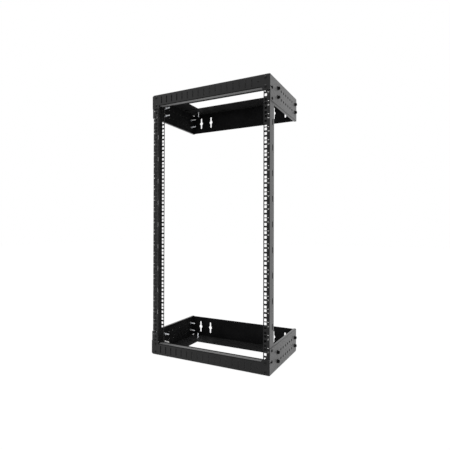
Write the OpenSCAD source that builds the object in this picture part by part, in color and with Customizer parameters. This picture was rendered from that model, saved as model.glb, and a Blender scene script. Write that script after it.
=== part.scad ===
// Wall mount open frame rack. Two folded trays hold a pair of punched rack posts at the front,
// and a folded wall bracket slides in each tray at the back. Bolts through rows of holes set
// the depth. The origin is the middle of the lower bracket's wall face: +X right, +Y into the
// wall, +Z up. All sizes are in millimetres.

/* [Overall] */
// Width over the folded trays
frame_w = 500; // [490:1:560]
// Depth from the front face to the wall
frame_d = 302; // [285:1:330]
// Rack units that the posts are punched for
unit_count = 23; // [7:1:30]
// Height of each tray's sides
tray_h = 92; // [90:1:110]
// Thickness of the steel sheet
sheet = 2; // [1.2:0.1:2.2]
// Outer radius of the folds
fold_r = 3.2; // [2.8:0.1:5]
// Gap between sheets that nest in each other
nest_gap = 0.2; // [0.1:0.05:0.4]

/* [Rack holes] */
// Height of one rack unit
unit_h = 44.45; // [43:0.05:46]
// Side of the square holes
square_hole = 9.5; // [9:0.1:10]
// From a tray's outer side to the middle of the square holes
column_inset = 17.45; // [16:0.05:18]
// From a unit's edge to its first and last hole
hole_inset = 6.35; // [6:0.05:7]
// From the rack's ends to the first unit
end_margin = 4.8; // [4:0.1:6]

/* [Posts] */
// From a tray's outer side to the clear opening between the posts
post_reach = 25; // [24:0.5:30]
// Depth of a post's channel
post_d = 45; // [40:1:60]
// Height of a slot in a post's side
post_slot_h = 22; // [10:1:24]
// Width of a slot in a post's side
post_slot_w = 7; // [4:0.5:9]
// From the front face to the middle of those slots
post_slot_y = 31; // [28:0.5:34]

/* [Trays] */
// Height of the front face between the posts
face_h = 45; // [43:0.5:48]
// Height of the front face where it covers the posts
face_end_h = 55; // [53:1:62]
// Depth of the lip folded back from the front face
face_lip = 20; // [12:1:30]
// Depth of the front strip of a tray's outer flange
front_strip = 146; // [120:1:170]
// How far a tab of the front face reaches past the post, towards the middle
tab_reach = 6; // [4:0.5:10]
// Width of the side strips of a tray's outer flange
side_strip = 76; // [70:1:90]
// Width of the lip along a tray side's free edge
side_lip = 10; // [6:0.5:12]
// Radius of a tray side's rear corner
rear_corner_r = 8; // [4:0.5:14]

/* [Vents] */
// Distance from vent to vent
vent_pitch = 24.3; // [20:0.1:24.5]
// From a tab to the middle of the first vent, at least
vent_margin = 12; // [8:0.5:20]
// Width of a vent slot
vent_w = 4; // [3:0.5:6]
// Length of a vent slot
vent_h = 28; // [16:1:30]
// Middle of the vents, from the rack's end
vent_mid = 23; // [20:0.5:24]
// Diameter of the round hole that ends the row
earth_hole_d = 6.5; // [5:0.5:8]

/* [Depth holes] */
// Diameter of the holes for the bolts
bolt_hole_d = 6.6; // [6.4:0.1:7.5]
// From the front face to the first depth bolt
depth_first = 76.2; // [70:0.1:80]
// From that bolt to the nearest hole of the row between the bolts
depth_step = 38.1; // [30:0.1:40]
// Distance between the holes of that row
depth_pitch = 25.4; // [20:0.1:26]
// From the wall to the last depth bolt
depth_end = 22.6; // [20:0.1:30]
// Lower row of depth holes, from the rack's end
depth_row_1 = 29; // [26:0.5:32]
// Upper row of depth holes, from the rack's end
depth_row_2 = 61; // [56:0.5:66]

/* [Wall brackets] */
// Depth of a bracket's outer flange
bracket_flange = 86; // [70:1:100]
// Gap between a bracket's arm and the post in front of it
arm_gap = 4.8; // [3:0.1:20]
// Radius of an arm's front corners
arm_corner_r = 6; // [3:0.5:8]
// Diameter of a keyhole's middle
keyhole_d = 15; // [13:0.5:17]
// Width of a keyhole's slots
keyhole_w = 7; // [6:0.5:9]
// Whole length of a keyhole
keyhole_h = 48; // [36:1:60]
// From a tray's outer side to the outer keyhole
keyhole_inset = 46.8; // [40:0.1:50]
// From the outer keyhole to the inner one
keyhole_step = 50.8; // [45:0.1:52]

/* [Bolts] */
// Diameter of the bolts and screws
bolt_d = 6; // [5:0.1:6]
// Length of a depth bolt under its head
depth_bolt_l = 28; // [20:1:35]
// Length of a post screw under its head
post_screw_l = 14; // [12:1:16]
// Length of a face screw under its head
face_screw_l = 14; // [12:1:16]
// Width of a hex across its flats
hex_af = 10; // [9:0.5:11]
// Height of a hex nut
nut_h = 5; // [4:0.5:6]
// Height of a depth bolt's head
hex_head_h = 8; // [6:0.5:9]
// Diameter of the flange under a depth bolt's head
hex_flange_d = 14.2; // [12:0.1:16]
// Height of that flange
hex_flange_h = 2.2; // [1.5:0.1:3]
// How deep a depth bolt's stud sits in its head
stud_grip = 6; // [4:0.5:6.5]
// Diameter of the low round heads
low_head_d = 11; // [9:0.5:12]
// Height of the low round heads
low_head_h = 2.8; // [2:0.1:4]
// Width across the cross recess
recess_l = 5.2; // [4:0.1:6]
// Width of the recess's arms
recess_w = 1; // [0.8:0.1:1.4]
// Depth of the recess
recess_h = 1.4; // [1:0.1:1.8]
// Diameter of a washer
washer_d = 12.5; // [12:0.5:14]
// Thickness of a washer
washer_t = 1.4; // [1:0.1:2]
// From the front face to the screws in the posts' sides
post_screw_y = 20; // [16:0.5:24]
// From the rack's end to the first of those screws
post_screw_row_1 = 43.4; // [40:0.1:46]
// From the rack's end to the second
post_screw_row_2 = 81.5; // [76:0.1:84]
// From a tray's outer side to the screws through the flanges
flange_screw_side = 59.5; // [50:0.5:64]
// From the wall to those screws
flange_screw_wall = 48; // [40:1:60]

/* [Cage nuts] */
// Side of the square nut
cage_nut_side = 10.6; // [10:0.1:11]
// Thickness of the square nut
cage_nut_t = 4.6; // [4:0.1:5.5]
// Thickness of the cage's spring steel
cage_sheet = 0.8; // [0.5:0.1:1]

/* [Hidden] */
$fn = 48;

powder_coat = [0.13, 0.13, 0.135];
black_oxide = [0.06, 0.06, 0.065];
zinc_plate = [0.78, 0.79, 0.81];

// The frame: front face, rack ends and the lift from the lower tray to the upper one
rack_h = unit_count * unit_h + 2 * end_margin;
front_y = -frame_d;
end_z = -tray_h / 2;
upper_lift = rack_h - tray_h;
half_w = frame_w / 2;
rack_opening = frame_w - 2 * post_reach;
wall_gap = 1;
tray_back_y = -wall_gap;

// What nests inside a tray: the posts and the bracket's arms share one outer face
nest_x = half_w - sheet - nest_gap;
nest_z = end_z + sheet + nest_gap;
post_front_y = front_y + sheet + nest_gap;
post_flange = nest_x - rack_opening / 2;
fold_inner = fold_r - sheet;
post_z = nest_z + fold_inner;
post_l = rack_h - 2 * (sheet + nest_gap + fold_inner);
column_x = half_w - column_inset;
unit_holes = [hole_inset, unit_h / 2, unit_h - hole_inset];

// The tray's front face, its tabs over the posts and the relief cuts between them
tab_x = rack_opening / 2 - tab_reach;
tab_drop = face_end_h - face_h;
relief_d = 2 * fold_r - 1;
vent_count = floor(2 * (tab_x - vent_margin) / vent_pitch) + 1;
vent_first_x = -vent_pitch * (vent_count - 1) / 2;
lip_start_y = post_front_y + post_d;

// The bracket between the tray's flange and its lips
bracket_h = tray_h - 2 * (sheet + nest_gap);
arm_h = bracket_h - 2 * fold_inner;
arm_l = -lip_start_y - arm_gap;
bracket_flange_x = nest_x - fold_r - fold_inner - 2 * nest_gap;
keyhole_x = half_w - keyhole_inset;

// Bolt places, from the front face and from the rack's end
depth_rows = [depth_row_1, depth_row_2];
depth_last = frame_d - depth_end;
depth_count = round((depth_last - depth_first - 2 * depth_step) / depth_pitch) + 1;
depth_columns = concat(
    [depth_first],
    [for (i = [0:depth_count - 1]) depth_first + depth_step + i * depth_pitch],
    [depth_last]);
bolt_columns = [depth_first, depth_last];
post_screw_rows = [post_screw_row_1, post_screw_row_2];
face_screw_rows = [end_margin + hole_inset, end_margin + unit_h - hole_inset];
flange_screw_x = half_w - flange_screw_side;
stack_t = 2 * sheet + nest_gap;
thread_gap = 0.05;
cut = 1;

// Profile of one folded strip, whose folds all turn the same way. Each side is an outer length.
module folded_profile(sides, i = 0) {
    before = i == 0 ? 0 : fold_r;
    after = i == len(sides) - 1 ? 0 : fold_r;
    translate([before, 0])
        square([sides[i] - before - after, sheet]);
    if (i < len(sides) - 1)
        translate([sides[i], 0])
            rotate(90) {
                fold_arc();
                folded_profile(sides, i + 1);
            }
}

// Section of a fold, with its outer corner at the origin
module fold_arc() {
    intersection() {
        square([fold_r, fold_r]);
        translate([fold_r, fold_r])
            difference() {
                circle(fold_r);
                circle(fold_r - sheet);
            }
    }
}

// Slot with round ends, along y
module slot_2d(w, l) {
    square([w, l - w], center = true);
    for (side = [-1, 1])
        translate([0, side * (l - w) / 2])
            circle(d = w);
}

// What rounds an outer corner at the origin, where the part fills the +x +y quarter
module corner_waste_2d(r) {
    difference() {
        translate([-cut, -cut])
            square([r + cut, r + cut]);
        translate([r, r])
            circle(r);
    }
}

// Cutter along y, drawn in x and z
module through_y(y_from, y_to) {
    translate([0, y_to, 0])
        rotate([90, 0, 0])
            linear_extrude(y_to - y_from)
                children();
}

// Cutter along x, drawn in y and z
module through_x(x_from, x_to) {
    translate([x_from, 0, 0])
        rotate([90, 0, 90])
            linear_extrude(x_to - x_from)
                children();
}

module both_sides() {
    children();
    mirror([1, 0, 0])
        children();
}

// Places a lower piece at the upper tray, upside down
module upper() {
    translate([0, 0, upper_lift])
        mirror([0, 0, 1])
            children();
}

module left() {
    mirror([1, 0, 0])
        children();
}

// Tray

// Front strip of the flange, front face and its lip, as one profile along the width
module tray_front() {
    x_end = half_w - fold_r;
    translate([x_end, front_y + front_strip, end_z])
        rotate([90, 0, -90])
            linear_extrude(2 * x_end)
                folded_profile([front_strip, face_h, face_lip]);
}

// Side strip of the flange, side and its lip, as one profile along the depth
module tray_side() {
    side_l = frame_d - wall_gap - sheet - nest_gap;
    translate([half_w - side_strip, tray_back_y, end_z])
        rotate([90, 0, 0])
            linear_extrude(side_l)
                folded_profile([side_strip, tray_h, side_lip]);
}

// End of the front face: it runs out to the side and hangs over the post's flange
module tray_tab() {
    tab_l = half_w - tab_x;
    translate([tab_x, 0, end_z])
        through_y(front_y, front_y + sheet) {
            translate([0, fold_r])
                square([tab_l, face_h - fold_r]);
            translate([tab_drop, face_h - cut])
                square([tab_l - tab_drop, tab_drop + cut]);
            intersection() {
                translate([0, face_h])
                    square(tab_drop);
                translate([tab_drop, face_h])
                    circle(tab_drop);
            }
        }
}

// The face's lip ends beside the tabs
module lip_waste() {
    translate([tab_x - sheet, front_y + sheet, end_z + face_h - fold_r])
        cube([half_w, face_lip, fold_r + cut]);
    translate([tab_x - sheet, front_y - cut, end_z + face_h - fold_r])
        cube([sheet, fold_r + cut, fold_r + cut]);
}

// The side's lip starts behind the post, and the rear corner is round
module side_waste() {
    translate([half_w - side_lip - cut, front_y, end_z + tray_h - fold_r])
        cube([side_lip + cut - sheet, lip_start_y + nest_gap - front_y, fold_r + cut]);
    through_x(half_w - side_lip - fold_r, half_w + cut)
        translate([tray_back_y, end_z])
            mirror([1, 0])
                corner_waste_2d(rear_corner_r);
}

// Round relief where the folds of the face and of the side meet
module corner_relief() {
    translate([half_w - fold_r / 2, front_y + fold_r / 2, end_z - cut])
        cylinder(d = relief_d, h = fold_r + 2 * cut);
}

module vents() {
    translate([0, 0, end_z + vent_mid])
        through_y(front_y - cut, front_y + sheet + cut) {
            for (i = [0:vent_count - 2])
                translate([vent_first_x + i * vent_pitch, 0])
                    slot_2d(vent_w, vent_h);
            translate([-vent_first_x, 0])
                circle(d = earth_hole_d);
        }
}

// Depth holes, through a tray's side or a bracket's arm
module depth_holes() {
    through_x(nest_x - sheet - cut, half_w + cut)
        for (y = depth_columns, row = depth_rows)
            translate([front_y + y, end_z + row])
                circle(d = bolt_hole_d);
}

module post_screw_holes() {
    through_x(nest_x - sheet - cut, half_w + cut)
        for (row = post_screw_rows)
            translate([front_y + post_screw_y, end_z + row])
                circle(d = bolt_hole_d);
}

module face_screw_holes() {
    through_y(front_y - cut, front_y + sheet + cut)
        for (row = face_screw_rows)
            translate([column_x, end_z + row])
                circle(d = bolt_hole_d);
}

module flange_screw_hole() {
    translate([flange_screw_x, -flange_screw_wall, end_z - cut])
        cylinder(d = bolt_hole_d, h = stack_t + 2 * cut);
}

module tray() {
    difference() {
        union() {
            tray_front();
            both_sides() {
                tray_side();
                tray_tab();
            }
        }
        vents();
        both_sides() {
            lip_waste();
            side_waste();
            corner_relief();
            depth_holes();
            post_screw_holes();
            face_screw_holes();
            flange_screw_hole();
        }
    }
}

module lower_tray() {
    color(powder_coat)
        tray();
}

module upper_tray() {
    color(powder_coat)
        upper()
            tray();
}

// Wall bracket

// Outer flange and wall face, as one profile along the width
module bracket_back() {
    translate([-bracket_flange_x, -bracket_flange, nest_z])
        rotate([90, 0, 90])
            linear_extrude(2 * bracket_flange_x)
                folded_profile([bracket_flange, bracket_h]);
}

// End of the wall face and an arm, as one profile along the height
module bracket_arm() {
    web_l = 2 * fold_r;
    translate([nest_x - web_l, 0, arm_h / 2])
        rotate([180, 0, 0])
            linear_extrude(arm_h)
                folded_profile([web_l, arm_l]);
}

// Keyhole with a slot above and below its middle, for hanging either way up
module keyholes() {
    through_y(-sheet - cut, cut)
        for (x = [keyhole_x - keyhole_step, keyhole_x])
            translate([x, 0]) {
                slot_2d(keyhole_w, keyhole_h);
                circle(d = keyhole_d);
            }
}

// The arm's front corners are round, and the flange's fold is cut free of the arm's
module arm_waste() {
    through_x(nest_x - sheet - cut, nest_x + cut) {
        for (side = [0, 1])
            mirror([0, side])
                translate([-arm_l, -arm_h / 2])
                    corner_waste_2d(arm_corner_r);
    }
    translate([nest_x - fold_r - sheet / 2, -fold_r / 2, nest_z - cut])
        cylinder(d = relief_d, h = fold_r + 2 * cut);
}

module wall_bracket() {
    difference() {
        union() {
            bracket_back();
            both_sides()
                bracket_arm();
        }
        both_sides() {
            keyholes();
            depth_holes();
            arm_waste();
            flange_screw_hole();
        }
    }
}

module lower_wall_bracket() {
    color(powder_coat)
        wall_bracket();
}

module upper_wall_bracket() {
    color(powder_coat)
        upper()
            wall_bracket();
}

// Posts

module square_holes() {
    through_y(front_y, front_y + post_d + sheet + cut)
        for (unit = [0:unit_count - 1], z = unit_holes)
            translate([column_x, end_z + end_margin + unit * unit_h + z])
                square(square_hole, center = true);
}

// Slots in the middle of every other unit between the trays' front faces
module post_slots() {
    through_x(nest_x - sheet - cut, nest_x + cut)
        for (unit = [1:2:unit_count - 2])
            translate([front_y + post_slot_y, end_z + end_margin + (unit + 0.5) * unit_h])
                slot_2d(post_slot_w, post_slot_h);
}

module post() {
    difference() {
        translate([rack_opening / 2, post_front_y, post_z])
            linear_extrude(post_l)
                folded_profile([post_flange, post_d, post_flange]);
        square_holes();
        post_slots();
        post_screw_holes();
        upper()
            post_screw_holes();
    }
}

module right_post() {
    color(powder_coat)
        post();
}

module left_post() {
    color(powder_coat)
        left()
            post();
}

// Fasteners. Each is drawn along +x, with the face that its head sits on at the origin.

module hex_prism(h) {
    cylinder(d = hex_af / cos(30), h = h, $fn = 6);
}

// Rounds the outer corners of a hex of height h
module hex_chamfer(h) {
    corner = hex_af / cos(30) / 2;
    chamfer_h = (corner - hex_af / 2) * 0.9;
    cylinder(r = corner + cut, h = h - chamfer_h);
    translate([0, 0, h - chamfer_h])
        cylinder(r1 = corner, r2 = hex_af / 2 - 0.2, h = chamfer_h);
}

module shank(l) {
    tip = 0.8;
    cylinder(d = bolt_d, h = l - tip);
    translate([0, 0, l - tip])
        cylinder(d1 = bolt_d, d2 = bolt_d - 2 * tip, h = tip);
}

// Flanged hex head of a depth bolt, pointing down, with a blind hole for its stud
module hex_head() {
    dish_h = 0.8;
    mirror([0, 0, 1])
        difference() {
            union() {
                cylinder(d = hex_flange_d, h = hex_flange_h / 2);
                translate([0, 0, hex_flange_h / 2])
                    cylinder(d1 = hex_flange_d, d2 = hex_af + 1, h = hex_flange_h / 2);
                intersection() {
                    hex_prism(hex_head_h);
                    hex_chamfer(hex_head_h);
                }
            }
            translate([0, 0, hex_head_h - dish_h])
                cylinder(d1 = hex_af / 2, d2 = hex_af * 0.7, h = dish_h + nest_gap);
            translate([0, 0, -cut])
                cylinder(d = bolt_d + 2 * thread_gap, h = stud_grip + cut);
        }
}

// Threaded stud of a depth bolt, from inside its head
module stud() {
    translate([0, 0, -stud_grip])
        shank(stud_grip + depth_bolt_l);
}

// Low domed head with a cross recess
module low_screw(l) {
    dome_r = (pow(low_head_d / 2, 2) + pow(low_head_h, 2)) / (2 * low_head_h);
    shank(l);
    mirror([0, 0, 1])
        difference() {
            intersection() {
                translate([0, 0, low_head_h - dome_r])
                    sphere(dome_r);
                cylinder(d = low_head_d + cut, h = low_head_h + cut);
            }
            for (turn = [0, 90])
                rotate(turn)
                    translate([-recess_l / 2, -recess_w / 2, low_head_h - recess_h])
                        cube([recess_l, recess_w, recess_h + cut]);
        }
}

module hex_nut() {
    difference() {
        intersection() {
            hex_prism(nut_h);
            hex_chamfer(nut_h);
            translate([0, 0, nut_h])
                mirror([0, 0, 1])
                    hex_chamfer(nut_h);
        }
        translate([0, 0, -cut])
            cylinder(d = bolt_d + 2 * thread_gap, h = nut_h + 2 * cut);
    }
}

module washer() {
    difference() {
        cylinder(d = washer_d, h = washer_t);
        translate([0, 0, -cut])
            cylinder(d = bolt_hole_d, h = washer_t + 2 * cut);
    }
}

// Points a fastener's +z at -x, from a depth into the tray's right side
module from_side(depth, y, row) {
    translate([half_w - depth, front_y + y, end_z + row])
        rotate([0, -90, 0])
            children();
}

// Points a fastener's +z at +y, from a depth behind the front face
module from_front(depth, row) {
    translate([column_x, front_y + depth, end_z + row])
        rotate([-90, 0, 0])
            children();
}

module depth_heads() {
    for (y = bolt_columns, row = depth_rows)
        from_side(0, y, row)
            hex_head();
}

module depth_studs() {
    for (y = bolt_columns, row = depth_rows)
        from_side(0, y, row)
            stud();
}

module depth_washers() {
    for (y = bolt_columns, row = depth_rows)
        from_side(stack_t, y, row)
            washer();
}

module depth_nuts() {
    for (y = bolt_columns, row = depth_rows)
        from_side(stack_t + washer_t, y, row)
            hex_nut();
}

module post_screws() {
    for (row = post_screw_rows)
        from_side(0, post_screw_y, row)
            low_screw(post_screw_l);
}

module post_nuts() {
    for (row = post_screw_rows)
        from_side(stack_t, post_screw_y, row)
            hex_nut();
}

module face_screws() {
    for (row = face_screw_rows)
        from_front(0, row)
            low_screw(face_screw_l);
}

// Spring steel cage: a hollow square box behind the flange, with a neck in the square hole
module cage() {
    play = 0.2;
    inner = cage_nut_side + 2 * play;
    outer = inner + 2 * cage_sheet;
    depth = cage_nut_t + 2 * play + 2 * cage_sheet;
    neck = square_hole - 2 * play;
    difference() {
        union() {
            translate([-outer / 2, -outer / 2, 0])
                cube([outer, outer, depth]);
            translate([-neck / 2, -neck / 2, -sheet])
                cube([neck, neck, sheet + cage_sheet]);
        }
        translate([-inner / 2, -outer / 2 - cut, cage_sheet])
            cube([inner, outer + 2 * cut, cage_nut_t + 2 * play]);
        translate([0, 0, -sheet - cut])
            cylinder(d = bolt_hole_d + 2 * play, h = depth + sheet + 2 * cut);
    }
}

module cages() {
    for (row = face_screw_rows)
        from_front(stack_t, row)
            cage();
}

module cage_nut() {
    difference() {
        translate([-cage_nut_side / 2, -cage_nut_side / 2, 0])
            cube([cage_nut_side, cage_nut_side, cage_nut_t]);
        translate([0, 0, -cut])
            cylinder(d = bolt_d + 2 * thread_gap, h = cage_nut_t + 2 * cut);
    }
}

module cage_nuts() {
    for (row = face_screw_rows)
        from_front(stack_t + cage_sheet + nest_gap, row)
            cage_nut();
}

module flange_screws() {
    both_sides()
        translate([flange_screw_x, -flange_screw_wall, end_z])
            low_screw(depth_bolt_l);
}

module flange_nuts() {
    both_sides()
        translate([flange_screw_x, -flange_screw_wall, end_z + stack_t])
            hex_nut();
}

module lower_right_depth_heads() { color(black_oxide) depth_heads(); }
module lower_left_depth_heads() { color(black_oxide) left() depth_heads(); }
module upper_right_depth_heads() { color(black_oxide) upper() depth_heads(); }
module upper_left_depth_heads() { color(black_oxide) upper() left() depth_heads(); }
module lower_right_depth_studs() { color(zinc_plate) depth_studs(); }
module lower_left_depth_studs() { color(zinc_plate) left() depth_studs(); }
module upper_right_depth_studs() { color(zinc_plate) upper() depth_studs(); }
module upper_left_depth_studs() { color(zinc_plate) upper() left() depth_studs(); }
module lower_right_depth_washers() { color(zinc_plate) depth_washers(); }
module lower_left_depth_washers() { color(zinc_plate) left() depth_washers(); }
module upper_right_depth_washers() { color(zinc_plate) upper() depth_washers(); }
module upper_left_depth_washers() { color(zinc_plate) upper() left() depth_washers(); }
module lower_right_depth_nuts() { color(zinc_plate) depth_nuts(); }
module lower_left_depth_nuts() { color(zinc_plate) left() depth_nuts(); }
module upper_right_depth_nuts() { color(zinc_plate) upper() depth_nuts(); }
module upper_left_depth_nuts() { color(zinc_plate) upper() left() depth_nuts(); }
module lower_right_post_screws() { color(black_oxide) post_screws(); }
module lower_left_post_screws() { color(black_oxide) left() post_screws(); }
module upper_right_post_screws() { color(black_oxide) upper() post_screws(); }
module upper_left_post_screws() { color(black_oxide) upper() left() post_screws(); }
module lower_right_post_nuts() { color(zinc_plate) post_nuts(); }
module lower_left_post_nuts() { color(zinc_plate) left() post_nuts(); }
module upper_right_post_nuts() { color(zinc_plate) upper() post_nuts(); }
module upper_left_post_nuts() { color(zinc_plate) upper() left() post_nuts(); }
module lower_right_face_screws() { color(black_oxide) face_screws(); }
module lower_left_face_screws() { color(black_oxide) left() face_screws(); }
module upper_right_face_screws() { color(black_oxide) upper() face_screws(); }
module upper_left_face_screws() { color(black_oxide) upper() left() face_screws(); }
module lower_right_cages() { color(zinc_plate) cages(); }
module lower_left_cages() { color(zinc_plate) left() cages(); }
module upper_right_cages() { color(zinc_plate) upper() cages(); }
module upper_left_cages() { color(zinc_plate) upper() left() cages(); }
module lower_right_cage_nuts() { color(zinc_plate) cage_nuts(); }
module lower_left_cage_nuts() { color(zinc_plate) left() cage_nuts(); }
module upper_right_cage_nuts() { color(zinc_plate) upper() cage_nuts(); }
module upper_left_cage_nuts() { color(zinc_plate) upper() left() cage_nuts(); }
module lower_flange_screws() { color(zinc_plate) flange_screws(); }
module upper_flange_screws() { color(zinc_plate) upper() flange_screws(); }
module lower_flange_nuts() { color(zinc_plate) flange_nuts(); }
module upper_flange_nuts() { color(zinc_plate) upper() flange_nuts(); }

lower_tray();
upper_tray();
lower_wall_bracket();
upper_wall_bracket();
left_post();
right_post();
lower_left_depth_heads();
lower_right_depth_heads();
upper_left_depth_heads();
upper_right_depth_heads();
lower_left_depth_studs();
lower_right_depth_studs();
upper_left_depth_studs();
upper_right_depth_studs();
lower_left_depth_washers();
lower_right_depth_washers();
upper_left_depth_washers();
upper_right_depth_washers();
lower_left_depth_nuts();
lower_right_depth_nuts();
upper_left_depth_nuts();
upper_right_depth_nuts();
lower_left_post_screws();
lower_right_post_screws();
upper_left_post_screws();
upper_right_post_screws();
lower_left_post_nuts();
lower_right_post_nuts();
upper_left_post_nuts();
upper_right_post_nuts();
lower_left_face_screws();
lower_right_face_screws();
upper_left_face_screws();
upper_right_face_screws();
lower_left_cages();
lower_right_cages();
upper_left_cages();
upper_right_cages();
lower_left_cage_nuts();
lower_right_cage_nuts();
upper_left_cage_nuts();
upper_right_cage_nuts();
lower_flange_screws();
upper_flange_screws();
lower_flange_nuts();
upper_flange_nuts();
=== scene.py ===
"""Looks of a wall mount open frame rack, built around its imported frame.

The frame has +X to the right, +Y into the wall and +Z up, with its origin in the middle of the
lower bracket's wall face. Folded sheets, posts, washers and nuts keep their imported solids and
get a finish. Bolts, screws and the cages of the cage nuts are replaced by threaded and folded
ones, and the posts get their printed unit marks. The rack's sizes are in millimetres, and the
camera's and the studio's places in metres.
"""
import logging
import math
from dataclasses import dataclass, field
from enum import Enum
from typing import Any, Callable, Optional, Sequence, Union

import bmesh
import bpy
from mathutils import Euler, Matrix, Vector


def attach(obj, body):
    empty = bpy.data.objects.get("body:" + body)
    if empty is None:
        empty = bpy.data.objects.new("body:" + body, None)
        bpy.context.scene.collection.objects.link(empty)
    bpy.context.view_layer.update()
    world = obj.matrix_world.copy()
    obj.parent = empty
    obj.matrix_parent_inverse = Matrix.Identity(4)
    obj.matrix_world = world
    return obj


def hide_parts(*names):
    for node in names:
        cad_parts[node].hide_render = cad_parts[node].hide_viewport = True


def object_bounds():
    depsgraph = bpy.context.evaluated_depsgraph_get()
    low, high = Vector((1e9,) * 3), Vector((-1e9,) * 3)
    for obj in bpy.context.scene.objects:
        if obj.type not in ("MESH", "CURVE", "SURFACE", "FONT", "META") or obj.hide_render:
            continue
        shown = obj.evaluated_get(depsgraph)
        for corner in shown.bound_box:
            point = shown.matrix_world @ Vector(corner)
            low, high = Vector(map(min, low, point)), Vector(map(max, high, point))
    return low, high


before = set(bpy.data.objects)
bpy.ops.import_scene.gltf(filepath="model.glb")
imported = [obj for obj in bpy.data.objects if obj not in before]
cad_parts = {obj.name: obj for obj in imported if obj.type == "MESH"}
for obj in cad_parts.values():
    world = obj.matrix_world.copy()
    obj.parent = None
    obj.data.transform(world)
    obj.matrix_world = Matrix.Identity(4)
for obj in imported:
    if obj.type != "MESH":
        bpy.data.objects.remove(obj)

log = logging.getLogger("rack")
CAD_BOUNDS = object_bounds()
MM = 0.001
BODY = "root"
SHARP = math.radians(32)
WHITE = (1.0, 1.0, 1.0, 1.0)

Pair = tuple[float, float]
Triple = tuple[float, float, float]
Radius = Union[float, Callable[[float], float]]
Seat = tuple[Vector, Vector]
Key = Union[int, str]
Settings = Optional[dict[str, Any]]
Inputs = Optional[dict[Key, Any]]


class Slot(Enum):
    """Material slot names, which each group of fasteners carries."""

    POWDER_COAT = "powder_coat"
    BLACK_OXIDE = "black_oxide"
    ZINC_PLATE = "zinc_plate"


class End(Enum):
    """The two ends of the rack, by the names of their nodes."""

    LOWER = "lower"
    UPPER = "upper"

    @property
    def inward(self) -> int:
        """The direction along Z to the rack's middle height."""
        return 1 if self is End.LOWER else -1


class Side(Enum):
    """The two sides of the rack, by the names of their nodes, with their sign along X."""

    LEFT = ("left", -1)
    RIGHT = ("right", 1)

    @property
    def word(self) -> str:
        """The side's name in a node's name."""
        return self.value[0]

    @property
    def sign(self) -> int:
        """The side's direction along X."""
        return self.value[1]


class Way(Enum):
    """Which way a fastener points: across the rack, to the wall, or to the rack's middle height."""

    ACROSS = "across"
    TO_WALL = "to_wall"
    TO_MIDDLE = "to_middle"

    def vector(self, end: End, side: Side) -> Vector:
        """The direction at one corner."""
        ways = {Way.ACROSS: (-side.sign, 0, 0), Way.TO_WALL: (0, 1, 0), Way.TO_MIDDLE: (0, 0, end.inward)}
        return Vector(ways[self])


def side_nodes(part: str) -> list[str]:
    """Names the nodes of a part that each side has."""
    return [f"{side.word}_{part}" for side in Side]


def end_nodes(part: str) -> list[str]:
    """Names the nodes of a part that each end has."""
    return [f"{end.value}_{part}" for end in End]


def corner_nodes(part: str) -> list[str]:
    """Names the nodes of a part that each corner has."""
    return [f"{end.value}_{node}" for end in End for node in side_nodes(part)]


@dataclass(frozen=True)
class Rack:
    """The rack's driving sizes, in millimetres, and the places that follow from them."""

    width: float = 500.0
    depth: float = 302.0
    tray_h: float = 92.0
    sheet: float = 2.0
    nest_gap: float = 0.2
    post_depth: float = 45.0
    units: int = 23
    unit_h: float = 44.45
    hole_inset: float = 6.35
    end_margin: float = 4.8
    column_pitch: float = 465.1
    depth_columns: Pair = (76.2, 279.4)
    depth_rows: Pair = (29.0, 61.0)
    depth_pitch: float = 25.4
    depth_holes: int = 6
    post_screw_y: float = 20.0
    post_screw_rows: Pair = (43.4, 81.5)
    flange_screw_x: float = 190.5
    flange_screw_y: float = 254.0

    @property
    def front(self) -> float:
        """Y of the front faces."""
        return -self.depth

    @property
    def height(self) -> float:
        """The rack's height over both trays."""
        return self.units * self.unit_h + 2 * self.end_margin

    @property
    def middle(self) -> float:
        """Z of the rack's middle height, and how far the middle of each tray lies from there."""
        return (self.height - self.tray_h) / 2

    @property
    def nested(self) -> float:
        """How far inside the outline a second sheet starts."""
        return self.sheet + self.nest_gap

    def layer(self, around: int) -> float:
        """How far inside the outline the middle of a sheet lies, by how many sheets go round it."""
        return self.sheet / 2 + around * self.nested

    def level(self, end: End, row: float) -> float:
        """Z of a row that is measured from one end of the rack."""
        base = -self.tray_h / 2
        return base + row if end is End.LOWER else base + self.height - row

    def face_rows(self) -> Pair:
        """Rows of the screws through the front faces."""
        return self.end_margin + self.hole_inset, self.end_margin + self.unit_h - self.hole_inset


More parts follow.
